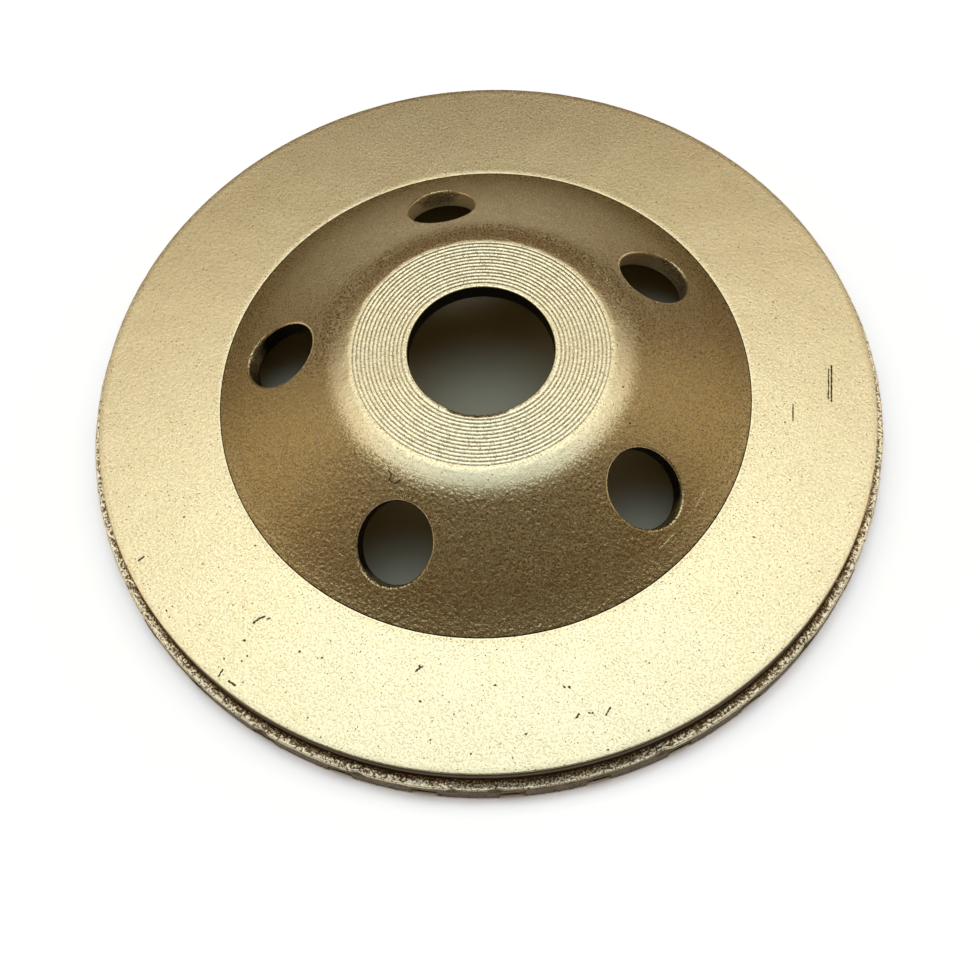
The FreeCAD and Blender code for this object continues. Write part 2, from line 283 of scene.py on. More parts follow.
class Field:
    """A value that a node gives, with the sums that it can be part of."""

    def __init__(self, nodes, socket):
        self.nodes = nodes
        self.socket = socket

    def sum(self, operation, *others):
        """One step of a sum with numbers or other fields."""
        values = dict(enumerate((self, *others)))
        return self.nodes.add("ShaderNodeMath", values, operation=operation)

    def __add__(self, other):
        return self.sum("ADD", other)

    def __sub__(self, other):
        return self.sum("SUBTRACT", other)

    def __mul__(self, other):
        return self.sum("MULTIPLY", other)

    def __truediv__(self, other):
        return self.sum("DIVIDE", other)

    def __lt__(self, other):
        return self.sum("LESS_THAN", other)

    def __gt__(self, other):
        return self.sum("GREATER_THAN", other)

    def __abs__(self):
        return self.sum("ABSOLUTE")

    def ease(self, first, last, low=0.0, high=1.0):
        """Turns values from first to last into values from low to high, softly."""
        values = {0: self, 1: first, 2: last, 3: low, 4: high}
        return self.nodes.add("ShaderNodeMapRange", values, interpolation_type="SMOOTHSTEP")

    def band(self, low, high, soft):
        """One between low and high, and zero outside, with soft edges."""
        return self.ease(low - soft, low) * self.ease(high, high + soft, 1.0, 0.0)


def least(*fields):
    """The least of several fields."""
    return reduce(lambda one, other: one.sum("MINIMUM", other), fields)


def most(*fields):
    """The greatest of several fields."""
    return reduce(lambda one, other: one.sum("MAXIMUM", other), fields)


class Nodes:
    """A node tree while it is put together."""

    def __init__(self, tree):
        self.tree = tree
        tree.nodes.clear()

    def add(self, kind, inputs=None, out=0, **settings):
        """Adds a node with its settings and links. Gives one output, or all where out is None."""
        node = self.tree.nodes.new(kind)
        for name, value in settings.items():
            setattr(node, name, value)
        for key, value in (inputs or {}).items():
            if isinstance(value, Field):
                self.tree.links.new(value.socket, node.inputs[key])
            else:
                node.inputs[key].default_value = value
        if out is None:
            return {socket.name: Field(self, socket) for socket in node.outputs}
        return Field(self, node.outputs[out])


def new_tree(name, inputs):
    """A Geometry Nodes tree with a geometry going through it and named inputs."""
    tree = bpy.data.node_groups.new(name, "GeometryNodeTree")
    tree.interface.new_socket("Geometry", in_out="INPUT", socket_type="NodeSocketGeometry")
    for label, kind in inputs.items():
        tree.interface.new_socket(label, in_out="INPUT", socket_type=f"NodeSocket{kind}")
    tree.interface.new_socket("Geometry", in_out="OUTPUT", socket_type="NodeSocketGeometry")
    nodes = Nodes(tree)
    return nodes, nodes.add("NodeGroupInput", out=None)


def end_tree(nodes, pieces, material):
    """Ends a Geometry Nodes tree with its material."""
    named = {"Geometry": pieces, "Material": material}
    nodes.add("NodeGroupOutput", {0: nodes.add("GeometryNodeSetMaterial", named)}, None)
    return nodes.tree


def run_tree(piece, tree, values):
    """Gives a piece the plain mesh that a tree makes of it."""
    modifier = piece.modifiers.new(tree.name, "NODES")
    modifier.node_group = tree
    for item in tree.interface.items_tree:
        if item.in_out == "INPUT" and item.name in values:
            modifier[item.identifier] = values[item.name]
    graph = bpy.context.evaluated_depsgraph_get()
    made = bpy.data.meshes.new_from_object(piece.evaluated_get(graph))
    made.name = piece.name
    made.materials.clear()
    made.materials.append(values["Material"])
    piece.modifiers.clear()
    raw = piece.data
    piece.data = made
    bpy.data.meshes.remove(raw)


def repeat_round_tree():
    """Repeats one sector round the Z axis and welds its seams."""
    nodes, given = new_tree(
        "repeat_round", {"Count": "Int", "Weld": "Float", "Material": "Material"}
    )
    places = nodes.add("GeometryNodePoints", {"Count": given["Count"]})
    turn = nodes.add("GeometryNodeInputIndex") / given["Count"] * tau
    euler = nodes.add("ShaderNodeCombineXYZ", {"Z": turn})
    rotation = nodes.add("FunctionNodeEulerToRotation", {0: euler})
    named = {"Points": places, "Instance": given["Geometry"], "Rotation": rotation}
    copies = nodes.add("GeometryNodeInstanceOnPoints", named)
    real = nodes.add("GeometryNodeRealizeInstances", {"Geometry": copies})
    welded = {"Geometry": real, "Distance": given["Weld"]}
    welded = nodes.add("GeometryNodeMergeByDistance", welded)
    smooth = nodes.add("GeometryNodeSetShadeSmooth", {"Geometry": welded})
    return end_tree(nodes, smooth, given["Material"])


LEAST_STRETCH = 0.45  # how flat a grain may be, as a share of its size


def scatter_grit_tree():
    """Scatters angular grains, each an octahedron, over the faces under a height."""
    nodes, given = new_tree(
        "scatter_grit",
        {"Density": "Float", "Grain": "Float", "Top": "Float", "Seed": "Int",
         "Material": "Material"},
    )
    place = nodes.add("GeometryNodeInputPosition")
    height = nodes.add("ShaderNodeSeparateXYZ", {0: place}, "Z")
    low = {0: height, 1: given["Top"]}
    low = nodes.add("FunctionNodeCompare", low, data_type="FLOAT", operation="LESS_THAN")
    named = {"Mesh": given["Geometry"], "Selection": low, "Density": given["Density"]}
    named["Seed"] = given["Seed"]
    spots = nodes.add("GeometryNodeDistributePointsOnFaces", named, "Points")
    named = {"Segments": 4, "Rings": 2, "Radius": given["Grain"]}
    grain = nodes.add("GeometryNodeMeshUVSphere", named)
    turn, stretch = (
        nodes.add(
            "FunctionNodeRandomValue",
            {"Min": (least_value,) * 3, "Max": (most_value,) * 3, "Seed": given["Seed"]},
            data_type="FLOAT_VECTOR",
        )
        for least_value, most_value in ((0.0, tau), (LEAST_STRETCH, 1.0))
    )
    rotation = nodes.add("FunctionNodeEulerToRotation", {0: turn})
    named = {"Points": spots, "Instance": grain, "Rotation": rotation, "Scale": stretch}
    grains = nodes.add("GeometryNodeInstanceOnPoints", named)
    real = nodes.add("GeometryNodeRealizeInstances", {"Geometry": grains})
    return end_tree(nodes, real, given["Material"])


def opaque(shade):
    """A colour with its alpha, or a field as it is."""
    return shade if isinstance(shade, Field) else (*shade[:3], 1.0)


class Finish(Nodes):
    """A material's nodes, with the place on the piece in millimetres."""

    def __init__(self, name):
        self.material = bpy.data.materials.new(name)
        self.material.use_nodes = True
        super().__init__(self.material.node_tree)
        place = {0: self.add("ShaderNodeTexCoord", out="Object"), "Scale": 1.0 / MM}
        self.place = self.add("ShaderNodeVectorMath", place, operation="SCALE")
        self.height = self.add("ShaderNodeSeparateXYZ", {0: self.place}, "Z")
        flat = {0: self.place, 1: (1.0, 1.0, 0.0)}
        flat = {0: self.add("ShaderNodeVectorMath", flat, operation="MULTIPLY")}
        self.radius = self.add("ShaderNodeVectorMath", flat, "Value", operation="LENGTH")

    def noises(self, *kinds, place=None):
        """Noise patterns, each from the size of its features in millimetres and its detail."""
        return [
            self.add(
                "ShaderNodeTexNoise",
                {"Vector": place or self.place, "Scale": 1.0 / size, "Detail": detail},
            )
            for size, detail in kinds
        ]

    def specks(self, spacing, smallest, largest, rare):
        """One in specks a spacing apart, with radii from smallest to largest, in millimetres."""
        inputs = {"Vector": self.place, "Scale": 1.0 / spacing, "Randomness": 1.0}
        cells = self.add("ShaderNodeTexVoronoi", inputs, None)
        chance = self.add("ShaderNodeSeparateColor", {0: cells["Color"]})
        reach = chance.ease(rare, 1.0, smallest / spacing, largest / spacing)
        return (cells["Distance"] < reach) * (chance > rare)

    def coats(self, shade, *coats):
        """A colour under coats of other colours, each with the share that it covers."""
        for share, over in coats:
            inputs = {0: share, 6: opaque(shade), 7: opaque(over)}
            shade = self.add("ShaderNodeMix", inputs, 2, data_type="RGBA")
        return shade

    def relief(self, *layers):
        """The way that the surface faces under layers of height, each with its depth in mm."""
        facing = {}
        for height, depth in layers:
            inputs = {"Height": height, "Distance": depth * MM, "Strength": 1.0, **facing}
            facing = {"Normal": self.add("ShaderNodeBump", inputs)}
        return facing["Normal"]

    def close(self, **inputs):
        """Ends the tree in one shader with these inputs."""
        named = {name.replace("_", " "): value for name, value in inputs.items()}
        surface = {"Surface": self.add("ShaderNodeBsdfPrincipled", named)}
        self.add("ShaderNodeOutputMaterial", surface, None)
        return self.material


# Pinholes and specks in the paint: distance from the axis in mm, direction in degrees, and size
# in mm. Each stays where the real wheel has one.
PINHOLES = (
    (48.4, 54.7, 0.20), (49.05, 58.2, 0.16), (45.61, 91.4, 0.22), (47.17, 31.8, 0.22),
    (49.48, 20.4, 0.20), (48.15, 7.4, 0.26), (50.77, 11.6, 0.18), (51.1, -2.8, 0.18),
    (54.95, -20.8, 0.18), (51.48, -21.5, 0.22), (50.48, -35.6, 0.30), (50.65, -34.8, 0.28),
    (54.9, -33.0, 0.24), (55.05, -32.5, 0.22), (56.05, -42.5, 0.24), (59.98, -26.2, 0.22),
    (60.49, -32.1, 0.20), (48.83, -46.6, 0.26), (59.15, -44.6, 0.24), (46.94, -59.5, 0.42),
    (51.74, -58.4, 0.26), (53.02, -52.9, 0.22), (56.92, -55.9, 0.24), (58.44, -50.2, 0.22),
    (50.94, -79.7, 0.28), (50.18, -75.8, 0.24), (49.66, -87.5, 0.34), (54.23, -88.0, 0.28),
    (57.95, -88.4, 0.22), (56.66, -86.1, 0.24), (55.66, -86.0, 0.20), (58.91, -83.9, 0.20),
    (58.55, -73.3, 0.20), (60.28, -70.5, 0.20), (43.66, -100.1, 0.24), (51.44, -102.8, 0.18),
    (59.46, -99.8, 0.20), (59.64, -98.7, 0.20), (50.65, -112.4, 0.24), (57.04, -94.8, 0.20),
    (33.99, 45.5, 0.24), (32.84, 43.7, 0.22), (22.06, 23.4, 0.24), (25.01, 12.1, 0.20),
)
PINHOLE_REACH = 0.85  # how far a pinhole's dark goes, as a share of its size
# Scratches and strings in the paint: where each starts and ends, and its width in mm
SCRATCHES = (
    ((54.87, 43.5), (54.23, 36.8), 0.16),
    ((54.35, 42.9), (53.75, 37.2), 0.12),
    ((48.31, 35.6), (48.36, 32.4), 0.13),
    ((51.5, -88.9), (50.6, -88.8), 0.20),
    ((50.6, -88.8), (49.88, -88.3), 0.22),
    ((60.32, -87.2), (59.28, -87.4), 0.18),
    ((59.97, -85.6), (59.95, -84.5), 0.20),
    ((59.28, -108.9), (58.4, -109.1), 0.18),
    ((55.1, -35.0), (54.67, -34.5), 0.18),
    ((55.86, -30.8), (55.12, -29.9), 0.14),
    ((46.93, -59.4), (47.63, -60.1), 0.18),
)
# A hair under the paint below the hub, from point to point, and its width in mm
HAIR = (
    (23.71, -82.8), (23.88, -81.2), (24.29, -80.8), (24.79, -81.1),
    (24.85, -79.2), (24.60, -77.9), (24.08, -77.4),
)
HAIR_WIDTH = 0.1
# Scratches that shine: where each starts and ends, and its width in mm
LIGHT_SCRATCHES = (
    ((38.66, 10.8), (38.80, 5.7), 0.14),
    ((38.91, -2.1), (38.95, -6.7), 0.14),
)
# Cut walls on the side away from it get a painted highlight.
WORN_SIDE = radians(-50.0)  # direction of the side with the coarsest grain and the ragged bore


def mark_fields(finish, shape, waver):
    """The dark pits, scratches and hair in the paint, and the scratches that shine."""

    def spot(distance, direction):
        level = shape.skin_height(distance * MM) / MM
        return tuple(polar(distance, radians(direction), level))

    def gap_to(point):
        ends = {0: finish.place, 1: point}
        return finish.add("ShaderNodeVectorMath", ends, "Value", operation="DISTANCE")

    def stroke(start, end, width):
        """Distance from a line on the skin, as a share of its width."""
        first, last = Vector(spot(*start)), Vector(spot(*end))
        along = last - first
        offset = {0: finish.place, 1: tuple(first)}
        offset = finish.add("ShaderNodeVectorMath", offset, operation="SUBTRACT")
        part = {0: offset, 1: tuple(along / along.length_squared)}
        part = finish.add("ShaderNodeVectorMath", part, "Value", operation="DOT_PRODUCT")
        foot = {0: tuple(along), "Scale": part.sum("MAXIMUM", 0.0).sum("MINIMUM", 1.0)}
        ends = {0: offset, 1: finish.add("ShaderNodeVectorMath", foot, operation="SCALE")}
        return finish.add("ShaderNodeVectorMath", ends, "Value", operation="DISTANCE") / width

    holes = [
        gap_to(spot(distance, direction)) / (PINHOLE_REACH * size)
        for distance, direction, size in PINHOLES
    ]
    scratches = [stroke(*scratch) for scratch in SCRATCHES]
    hair = [stroke(*pair, HAIR_WIDTH) for pair in zip(HAIR, HAIR[1:])]
    shining = [stroke(*scratch) for scratch in LIGHT_SCRATCHES]
    return [
        (least(*shares) + waver).ease(0.5, 1.1, 1.0, 0.0)
        for shares in (holes + scratches + hair, shining)
    ]


def gold_paint(sizes, shape, paint):
    """Metallic gold spray over pressed steel: satin, grainy, with flakes that catch the light.

    It gives the eye a broad soft sheen that changes from pale cream to bronze with the slope.
    Painted shade darkens the crease and the hub's grooves, and painted highlights lie beside the
    crease, on the vents' rims and on the far side's cut walls.
    """
    finish = Finish("satin_gold_spray")
    grain, flake, mottle, swell, waver, gaps, crease_breaks, chips = finish.noises(
        (paint.grain / MM, 3.0), (paint.flake / MM, 1.0), (5.0, 3.0), (9.0, 1.0),
        (0.3, 2.0), (0.35, 1.0), (0.35, 3.0), (0.5, 2.0),
    )
    pits, rubbed = mark_fields(finish, shape, waver * 2.2 - 1.1)
    edge = sizes.flange_radius / MM
    top = (sizes.foot_height + sizes.sheet) / MM

    # The crease between wall and flange: painted shade as a dark line in it, a painted highlight
    # line just outside it, and a broken dark line past that
    past_crease = finish.radius - shape.crease / MM
    low = finish.height < top + 1.0
    crease_shade = past_crease.band(-0.13, -0.02, 0.05) * low
    crease_highlight = past_crease.band(0.04, 0.14, 0.05) * low * 0.75
    broken_crease_line = past_crease.band(0.45, 0.7, 0.25) * crease_breaks.ease(0.52, 0.64, 0.0, 0.4)

    # The turned grooves of the hub, counted from its edge, with painted shade in their bottoms,
    # broken in places where paint bridges them
    high = finish.height > sizes.hub_height / MM - 0.4
    turned = (finish.radius - (sizes.hub_radius - LAST_GROOVE) / MM) / (-sizes.groove_pitch / MM)
    turned += grain.ease(0.3, 0.7, -0.14, 0.14)
    on_hub = turned.band(-0.3, sizes.groove_count - 0.7, 0.1) * high
    groove = turned.sum("PINGPONG", 0.5).ease(0.03, 0.16, 1.0, 0.0)
    groove = groove * gaps.ease(0.35, 0.6, 0.0, 0.5) * on_hub

    # Which way the wheel faces the worn side, and the ragged edge of the bore there
    toward = {0: finish.place, 1: tuple(polar(1.0, WORN_SIDE, 0.0))}
    toward = finish.add("ShaderNodeVectorMath", toward, "Value", operation="DOT_PRODUCT")
    toward /= finish.radius
    bore_edge = finish.radius.band(sizes.bore_radius / MM - 0.1, BORE["r_mm"] + 0.3, 0.1) * high
    ragged = chips.ease(0.5, 0.6, 0.0, 0.8) * bore_edge * toward.ease(0.9, 0.93)

    # The sloping wall, the rims of its vents with a painted highlight, the cut walls with a
    # painted highlight on the far side, and the flange's side with a lighter band half way down
    on_wall = finish.radius.band(24.5, shape.crease / MM - 0.1, 2.5)
    on_wall = least(on_wall, past_crease.ease(-0.1, 0.0, 1.0, 0.0))
    facing = {0: finish.add("ShaderNodeTexCoord", out="Normal")}
    level = abs(finish.add("ShaderNodeSeparateXYZ", facing, "Z"))
    # Painted highlight on the rounded rims of the vents.
    vent_rim_highlight = level.band(0.5, 0.78, 0.08) * on_wall * 0.85
    cut = level.ease(0.35, 0.5, 1.0, 0.0) * (finish.radius < edge - 5.0)
    # Painted light: the cut walls on the far side are lighter and less metallic.
    far_cut_painted_light = cut * toward.ease(-0.75, -0.2, 1.0, 0.0) * finish.radius.ease(15.0, 20.0)
    beyond = finish.radius.ease(edge - 0.03, edge)
    thin = most(beyond * finish.height.ease(top - 0.13, top - 0.03, 1.0, 0.0), cut)
    half_down = top - sizes.sheet / MM / 2
    # A lighter band half way down the flange's side.
    side_middle_band = finish.height.band(half_down - 0.3, half_down + 0.2, 0.3) * beyond * 0.2

    specks = finish.specks(1.9, 0.06, 0.14, 0.6) * 0.6
    flecks = finish.specks(0.66, 0.05, 0.105, 0.35) * (on_wall * -0.95 + 0.95)
    # The dark marks, with the painted shade of the crease and of the grooves.
    marks_and_shade = most(pits, specks, flecks, crease_shade, broken_crease_line, groove, ragged)
    gold = finish.coats(
        paint.light, (mottle, paint.deep), (on_wall, paint.wall), (on_hub, paint.faced)
    )
    gold = {"Value": grain.ease(0.25, 0.6, 0.9, 1.0), "Color": gold}
    gold = finish.add("ShaderNodeHueSaturation", gold)
    bare = finish.coats(paint.thin, (side_middle_band, paint.deep), (far_cut_painted_light, paint.wall))
    # Real scratches that shine, with the painted highlights of the crease and of the vents' rims.
    wear_and_highlight = most(rubbed, crease_highlight, vent_rim_highlight)

    coarse = on_wall * toward.ease(0.5, 0.95, 0.42, 1.0) * vent_rim_highlight.ease(0.0, 0.5, 1.0, 0.3)
    leather = grain * (coarse * 0.87 + 0.13)
    facets = flake.ease(0.53, 0.74) * (coarse * 0.93 + 0.07)
    return finish.close(
        Base_Color=finish.coats(gold, (wear_and_highlight, paint.faced), (thin, bare), (marks_and_shade, paint.pit_and_shade)),
        Metallic=far_cut_painted_light * -0.7 + 1.0,
        Roughness=most(flake.ease(0.2, 0.8, 0.24, 0.36), thin * 0.55),
        Normal=finish.relief((swell, 0.04), (leather, 0.17), (facets, 0.21), (rubbed, 0.05)),
    )


def spray_share(finish, ring):
    """How far up the ring gold spray has reached: its ledge and its lip."""
    lip = (ring.height - ring.lip_drop) / MM
    return finish.height.ease(lip - 0.45, lip - 0.15)


def sintered_bond(ring):
    """Sintered metal bond as it comes from the mould: dull, pitted, taupe, with gold overspray.

    It gives the eye a rough dark wall under a ledge that sparkles, with painted shade in by the
    steel and a painted highlight towards the lip.
    """
    finish = Finish("sintered_bond")
    steel = CUP_HIGH.x / MM
    coarse, fine = finish.noises((0.9, 3.0), (0.3, 3.0))
    upright = {0: finish.place, 1: (1.0, 1.0, 0.25)}
    upright = finish.add("ShaderNodeVectorMath", upright, operation="MULTIPLY")
    streaks, = finish.noises((1.1, 2.0), place=upright)
    sprayed = spray_share(finish, ring)
    # Painted highlight: more of the light overspray towards the lip, and less in by the steel,
    # where it stands for shade.
    glow = finish.radius.ease(steel + 0.6, ring.lip_radius / MM, -0.03, 0.14)
    spray = finish.coats(ring.dark_spray, ((fine + glow).ease(0.44, 0.58), ring.overspray))
    # Painted shade in by the steel, under the flange's edge.
    crevice_shade = finish.radius.ease(steel + 0.05, steel + 0.45, 0.9, 0.0) * sprayed
    return finish.close(
        Base_Color=finish.coats(
            ring.hollow,
            (fine.ease(0.3, 0.6), ring.body),
            (streaks.ease(0.35, 0.7, 0.0, 0.5), ring.hollow),
            (sprayed, spray),
            (crevice_shade, ring.crevice_shade),
        ),
        Metallic=sprayed * 0.55 + 0.4,
        Roughness=sprayed.ease(0.0, 1.0, 0.6, 0.34),
        Normal=finish.relief((coarse, 0.12), (fine, 0.08)),
    )


def diamond_grit(ring):
    """Synthetic diamond grit with a film of bond and overspray: small facets that glint."""
    finish = Finish("diamond_grit")
    patch, = finish.noises((0.8, 1.0))
    sprayed = spray_share(finish, ring)
    film = (patch.ease(0.35, 0.65), ring.body)
    return finish.close(
        Base_Color=finish.coats(ring.hollow, film, (sprayed, ring.overspray)),
        Metallic=sprayed * 0.35 + 0.45,
        Roughness=patch.ease(0.3, 0.7, 0.3, 0.5),
    )


OPEN_GAIN = (2.7, 2.7, 2.7)  # paper that is seen, round the wheel
# Under the wheel: painted shade, tinted warm as a painted reflection of the gold.
UNDER_WHEEL_SHADE_GAIN = (0.63, 0.59, 0.42)  # and under it


def floor_paper(shade, covered):
    """Matt white paper. The camera and reflections see it at full white, and its shadows stay.

    Under the wheel it is darkened and warmed where the bore and the vents show it: painted shade,
    and a painted warm reflection of the gold round it.
    """
    finish = Finish("matt_white_paper")
    fibre, = finish.noises((0.8, 2.0))
    tone = finish.add("ShaderNodeMapRange", {0: fibre, 3: 0.985, 4: 1.0})
    rays = finish.add("ShaderNodeLightPath", out=None)
    seen = most(*(rays[f"Is {kind} Ray"] for kind in ("Camera", "Glossy", "Transmission")))
    outside = {0: finish.radius, 1: covered / MM - 3.0, 2: covered / MM}
    outside = finish.add("ShaderNodeMapRange", outside)
    gain = {0: outside, 4: UNDER_WHEEL_SHADE_GAIN, 5: OPEN_GAIN}
    gain = finish.add("ShaderNodeMix", gain, 1, data_type="VECTOR")
    gain = {0: seen, 4: (1.0, 1.0, 1.0), 5: gain}
    gain = finish.add("ShaderNodeMix", gain, 1, data_type="VECTOR")
    lit = {0: tuple(shade), 1: gain}
    lit = {0: finish.add("ShaderNodeVectorMath", lit, operation="MULTIPLY"), "Scale": tone}
    paper = {"Color": finish.add("ShaderNodeVectorMath", lit, operation="SCALE")}
    front = finish.add("ShaderNodeBsdfDiffuse", paper)
    back = finish.add("ShaderNodeBsdfTransparent")
    side = finish.add("ShaderNodeNewGeometry", out="Backfacing")
    sheet = finish.add("ShaderNodeMixShader", {0: side, 1: front, 2: back})
    finish.add("ShaderNodeOutputMaterial", {"Surface": sheet}, None)
    return finish.material


class CupShape:
    """Where the pressed sheet lies, worked out from the cup's sizes."""

    def __init__(self, sizes):
        self.sizes = sizes
        self.wall = sizes.wall_slope
        crown, root = sizes.crown_radius, sizes.root_radius
        self.crown = (
            sizes.hub_radius - crown * sin(sizes.crown_slope),
            sizes.hub_height - crown * cos(sizes.crown_slope),
        )
        self.flange_top = sizes.foot_height + sizes.sheet
        top = (self.crown[0] + crown * sin(self.wall), self.crown[1] + crown * cos(self.wall))
        drop = root * (cos(sizes.crease_slope) - cos(self.wall))
        foot = top[0] + (top[1] - self.flange_top - drop) / tan(self.wall)
        self.crease = foot + root * (sin(self.wall) - sin(sizes.crease_slope))
        self.root = (
            self.crease + root * sin(sizes.crease_slope),
            self.flange_top + root * cos(sizes.crease_slope),
        )
        reach = sizes.vent_length / 2 * cos(self.wall)
        vent_radius = self.crease - sizes.vent_margin - reach
        self.vent = Vector(
            (vent_radius, 0.0, top[1] - (vent_radius - top[0]) * tan(self.wall))
        )

    def height(self, radius, depth=0.0):
        """Height of the skin that lies a depth under the outer one."""
        crown = self.sizes.crown_radius - depth
        root = self.sizes.root_radius + depth
        wall_start = self.crown[0] + crown * sin(self.wall)
        wall_end = self.root[0] - root * sin(self.wall)
        if radius < wall_start:
            return self.crown[1] + sqrt(crown**2 - (radius - self.crown[0]) ** 2)
        if radius < wall_end:
            fall = (radius - wall_start) * tan(self.wall)
            return self.crown[1] + crown * cos(self.wall) - fall
        return self.root[1] - sqrt(root**2 - (self.root[0] - radius) ** 2)

    def skin_height(self, radius):
        """Height of the outer skin anywhere between the bore and the flange's edge."""
        if radius < self.sizes.hub_radius:
            return self.sizes.hub_height
        return self.height(radius) if radius < self.crease else self.flange_top

    def run(self, first, last, number, depth):
        """Points of a half section that follow the skin a depth under the outer one."""
        return [(radius, self.height(radius, depth)) for radius in steps(first, last, number)]

    def rim(self, grown, depth, sunk):
        """A ring of points round a vent, grown past its outline and sunk into a skin."""
        slope = Vector((cos(self.wall), 0.0, -sin(self.wall)))
        out = Vector((sin(self.wall), 0.0, cos(self.wall)))
        side = Vector((0.0, 1.0, 0.0))
        half_length = self.sizes.vent_length / 2 + grown
        half_width = self.sizes.vent_width / 2 + grown
        places = []
        for number in range(RIM_POINTS):
            turn = tau * number / RIM_POINTS
            start = self.vent + half_length * cos(turn) * slope + half_width * sin(turn) * side
            low, high = -2.0 * self.sizes.sheet, self.sizes.sheet
            for _ in range(BISECTIONS):
                middle = (low + high) / 2
                point = start + middle * out
                above = point.z > self.height(hypot(point.x, point.y), depth)
                low, high = (low, middle) if above else (middle, high)
            places.append(start + (low - sunk) * out)
        return places


BISECTIONS = 30
RIM_POINTS = 96
RIM_RINGS = (1.3 * MM, 0.85 * MM, 0.5 * MM)  # plain rings round a vent, so that it shades evenly
RIM_STEPS = (0.0, 22.5, 45.0, 67.5, 90.0)  # rings on a vent's rounded rim, in degrees
INNER_ROLL = 0.15 * MM  # round of a vent's rim on the inside
CUT_ROWS = (0.33, 0.67)  # rings on a vent's cut wall, as shares of the way through the sheet
HUB_COLUMNS = 36  # columns of one sector where the cup is narrow
FLANGE_COLUMNS = 72  # columns of one sector where it is wide
BAND = (24.4 * MM, 39.6 * MM)  # the part of the wall round its vents that is filled freely
INNER_BAND = (23.6 * MM, 38.2 * MM)
BAND_ROWS = 14
VENT_MARGIN = 0.5  # mm that stay free of other points round a vent's last ring
SLIVER = 0.002  # square mm, below which a triangle of the wall is only rounding
SAME_POINT = 1e-6  # mm
WELD = 0.001 * MM


def pierced_band(skin, shape, depth, inner_row, outer_row, hole, half_turn):
    """Fills a band of the wall between two rows, round the ring of points of its vent."""
    middle = shape.vent.x / MM
    lean = 1.0 / cos(shape.wall)

    def flat(point):
        radius = hypot(point.x, point.y) / MM
        return Vector((atan2(point.y, point.x) * middle, radius * lean))

    outline = [flat(skin.points[number]) for number in hole]
    centre = sum(outline, Vector((0.0, 0.0))) / len(outline)
    half_width = max(abs(p.x - centre.x) for p in outline) + VENT_MARGIN
    half_length = max(abs(p.y - centre.y) for p in outline) + VENT_MARGIN
    radii = [hypot(*skin.points[row[0]][:2]) for row in (inner_row, outer_row)]
    extra = []
    for radius in steps(*radii, BAND_ROWS)[1:-1]:
        for turn in steps(-half_turn, half_turn, HUB_COLUMNS + 1):
            place = polar(radius, turn, shape.height(radius, depth))
            spot = flat(place) - centre
            if hypot(spot.x / half_width, spot.y / half_length) > 1.0:
                extra.append(place)
    numbers = [*inner_row, *outer_row, *hole, *skin.row(extra)]
    first = len(inner_row) + len(outer_row)
    in_hole = list(range(first, first + len(hole)))
    ring = list(zip(in_hole, in_hole[1:] + in_hole[:1]))
    spots = [flat(skin.points[number]) for number in numbers]
    _, _, faces, sources, _, _ = delaunay_2d_cdt(spots, ring, [], 0, SAME_POINT)
    for face in faces:
        corners = [sources[corner][0] for corner in face]
        is_sliver = area_tri(*(spots[corner] for corner in corners)) < SLIVER
        if not is_sliver and not all(corner in in_hole for corner in corners):
            skin.faces.append(tuple(numbers[corner] for corner in corners))


LAST_GROOVE = 0.55 * MM  # how far inside the hub's edge its last groove lies
GROOVE_HALF = 0.16  # half the width of a groove, as a share of the pitch
CREST = 0.06  # how far the crests stand over the grooves' edges, as a share of the depth
# One groove: place across it in half widths, outwards, and share of its depth
GROOVE = ((1.0, 0.0), (0.5, 0.5), (0.0, 1.0), (-0.5, 0.5), (-1.0, 0.0))
HUB_EDGE = (0.7 * MM, -0.35 * MM)  # how far past the hub's edge its fine rows start and end


def groove_rows(sizes):
    """The faced hub in half section, from the crown inwards to the bore's edge."""
    hub, half = sizes.hub_radius, sizes.groove_pitch * GROOVE_HALF
    start, end = HUB_EDGE
    rows = [(radius, 0.0) for radius in steps(hub + start, hub + end, 10)]
    for number in range(sizes.groove_count):
        centre = hub - LAST_GROOVE - number * sizes.groove_pitch
        if centre - half < sizes.bore_radius + 1.5 * sizes.bore_round:
            break
        rows += [(centre + side * half, share) for side, share in GROOVE]
        rows.append((centre - sizes.groove_pitch / 2, -CREST))
    return [
        (radius, sizes.hub_height - (CREST + share) * sizes.groove_depth)
        for radius, share in rows
    ]


BESIDE = 0.3 * MM  # how far from a corner a row keeps the face beside it flat
UNDER_FOOT = 0.1 * MM  # the same, where the hollow root meets the flange's underside
CROWN_END = 0.85 * MM  # how far past the hub's edge the rows on the crown end
# The crease between wall and flange: how far past it and how far under the flange's top
CREASE = ((-0.02 * MM, 0.015 * MM), (0.05 * MM, 0.02 * MM), (0.16 * MM, 0.0))


def hub_run(sizes, shape):
    """Half section over the hub, from the wall's band through the bore to the band inside."""
    top, under = sizes.hub_height, sizes.hub_height - sizes.sheet
    bore, rounded = sizes.bore_radius, sizes.bore_round
    corner = shape.crown[0] + sqrt(
        (sizes.crown_radius - sizes.sheet) ** 2 - (under - shape.crown[1]) ** 2
    )
    return [
        *shape.run(BAND[0], sizes.hub_radius + CROWN_END, 8, 0.0),
        *groove_rows(sizes),
        *arc((bore + rounded, top - rounded), rounded, 90.0, 180.0, 5),
        *run((bore, top - rounded), (bore, under + rounded), 4),
        *arc((bore + rounded, under + rounded), rounded, 180.0, 270.0, 4),
        *run((bore + rounded, under), (corner - BESIDE, under), 7),
        (corner - BESIDE, under),
        *shape.run(corner + 0.2 * MM, INNER_BAND[0], 6, sizes.sheet),
    ]


